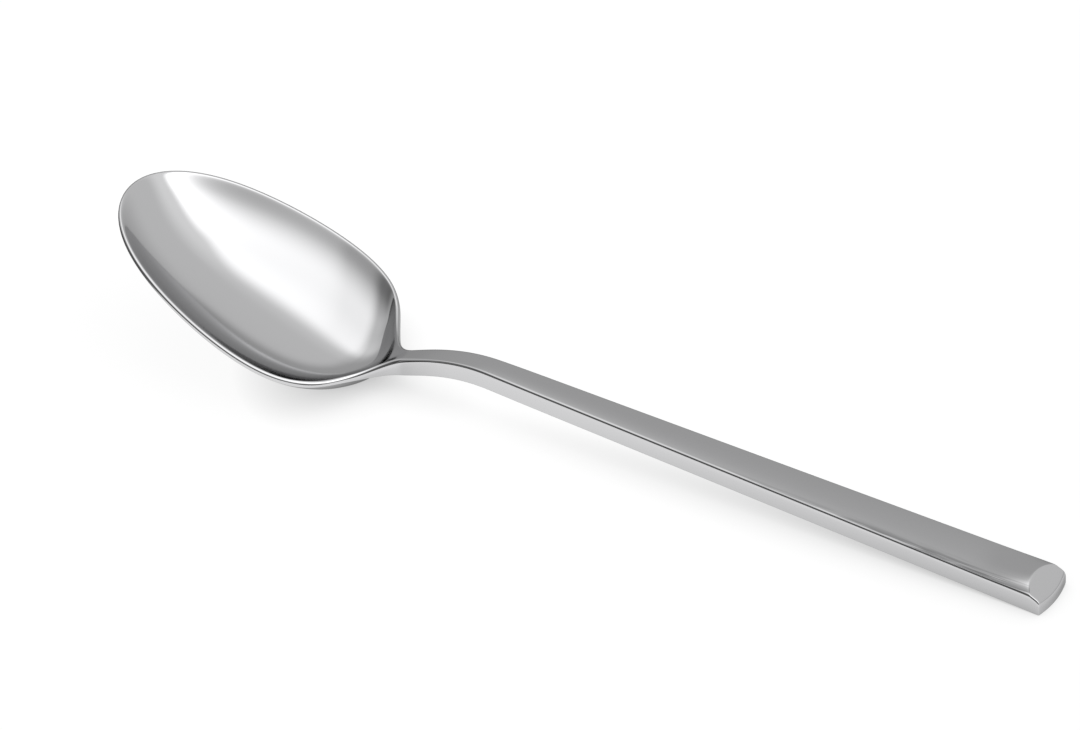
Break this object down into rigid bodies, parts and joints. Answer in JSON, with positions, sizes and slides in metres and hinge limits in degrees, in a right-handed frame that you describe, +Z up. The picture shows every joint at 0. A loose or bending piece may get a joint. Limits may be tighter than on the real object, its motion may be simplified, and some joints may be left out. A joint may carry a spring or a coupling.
{
  "type": "teaspoon",
  "caption": "Polished stainless steel teaspoon with an egg-shaped bowl, a slender arched neck and a tapered bar handle with a slanted end facet.",
  "frame": {"origin": "on the table, under the middle of the spoon's length and width, with the spoon lying on its bowl and the end of its handle", "axes": "+X from the bowl's tip to the handle's end, +Y across the spoon, +Z up, out of the bowl's hollow"},
  "size_m": [0.14, 0.0294, 0.0196],
  "materials": {
    "polished_steel": "mirror-polished 18/10 stainless steel, with fine polishing lines along the handle"
  },
  "bodies": {
    "root": {"bowl": "polished_steel", "handle": "polished_steel"}
  },
  "joints": []
}
